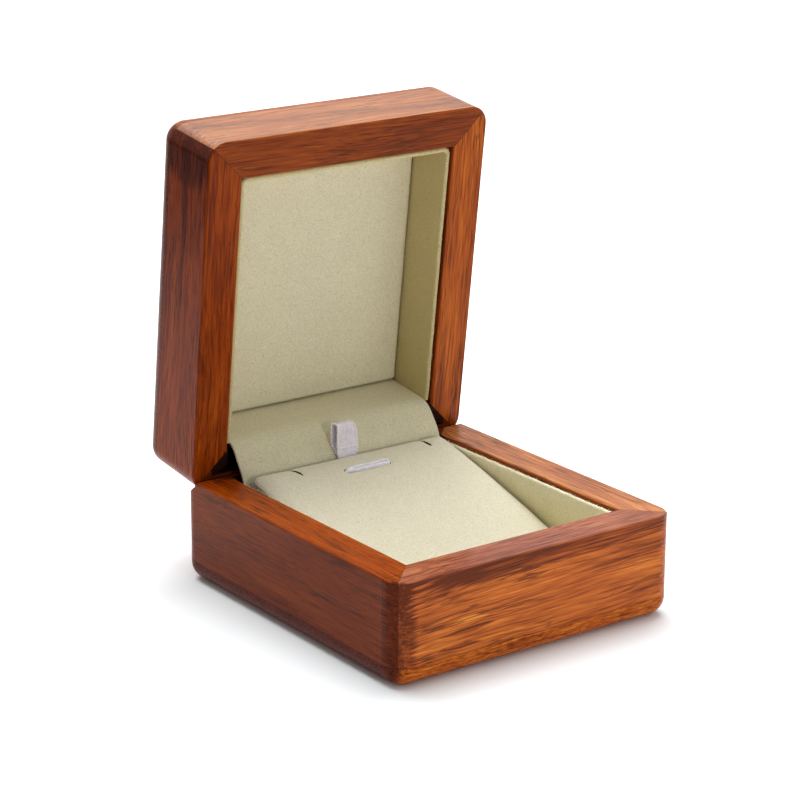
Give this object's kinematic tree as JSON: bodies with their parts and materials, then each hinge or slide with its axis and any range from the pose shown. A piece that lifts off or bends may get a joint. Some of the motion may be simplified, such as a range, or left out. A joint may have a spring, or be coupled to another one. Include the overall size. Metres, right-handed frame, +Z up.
{
  "type": "pendant box",
  "caption": "Hinged wooden jewellery box with rounded corners, fabric lining and a sloping padded insert that lifts out by a ribbon tab to show a compartment for the chain.",
  "frame": {"origin": "centre of the base's underside, on the surface that the box stands on", "axes": "+X to the right along the hinge line, +Y towards the hinge side, +Z up; stored with the lid open on its stop"},
  "size_m": [0.086, 0.1123, 0.1196],
  "materials": {
    "lacquered_wood": "reddish brown figured hardwood under a satin lacquer",
    "microsuede": "olive beige microsuede with a fine mottled nap, glued over card",
    "satin_ribbon": "white satin ribbon with a looped edge",
    "foam": "thin padding foam, hidden under the covers",
    "card_board": "plain grey board, hidden under the covers",
    "hinge_brass": "small stamped hinges and screws, lightly tarnished"
  },
  "bodies": {
    "base": {"base_front_rail": "lacquered_wood", "base_right_rail": "lacquered_wood", "base_back_rail": "lacquered_wood", "base_left_rail": "lacquered_wood", "base_bottom_panel": "lacquered_wood", "base_wall_liner": "microsuede", "base_back_card": "microsuede", "base_floor_liner": "microsuede", "left_hinge_base_leaf": "hinge_brass", "right_hinge_base_leaf": "hinge_brass", "left_hinge_pin": "hinge_brass", "right_hinge_pin": "hinge_brass", "base_hinge_screws": "hinge_brass", "hinge_flap": "microsuede"},
    "lid": {"lid_front_rail": "lacquered_wood", "lid_right_rail": "lacquered_wood", "lid_back_rail": "lacquered_wood", "lid_left_rail": "lacquered_wood", "lid_top_panel": "lacquered_wood", "lid_wall_liner": "microsuede", "lid_back_card": "microsuede", "lid_ceiling_board": "card_board", "lid_ceiling_foam": "foam", "lid_ceiling_cover": "microsuede", "left_hinge_lid_leaf": "hinge_brass", "right_hinge_lid_leaf": "hinge_brass", "lid_hinge_screws": "hinge_brass"},
    "pad": {"pad_board": "card_board", "pad_foam": "foam", "pad_cover": "microsuede", "pad_stand": "microsuede", "slot_ribbon": "satin_ribbon", "pull_tab": "satin_ribbon"}
  },
  "joints": [
    {"name": "lid_hinge", "type": "hinge", "parent": "base", "child": "lid", "pos_m": [0, 0.0429, 0.0282], "axis": [1, 0, 0], "range_deg": [0, 83], "deforming": ["hinge_flap", "pull_tab"]},
    {"name": "pad_lift", "type": "slide", "parent": "base", "child": "pad", "axis": [0, 0, 1], "range_m": [0, 0.01]}
  ]
}
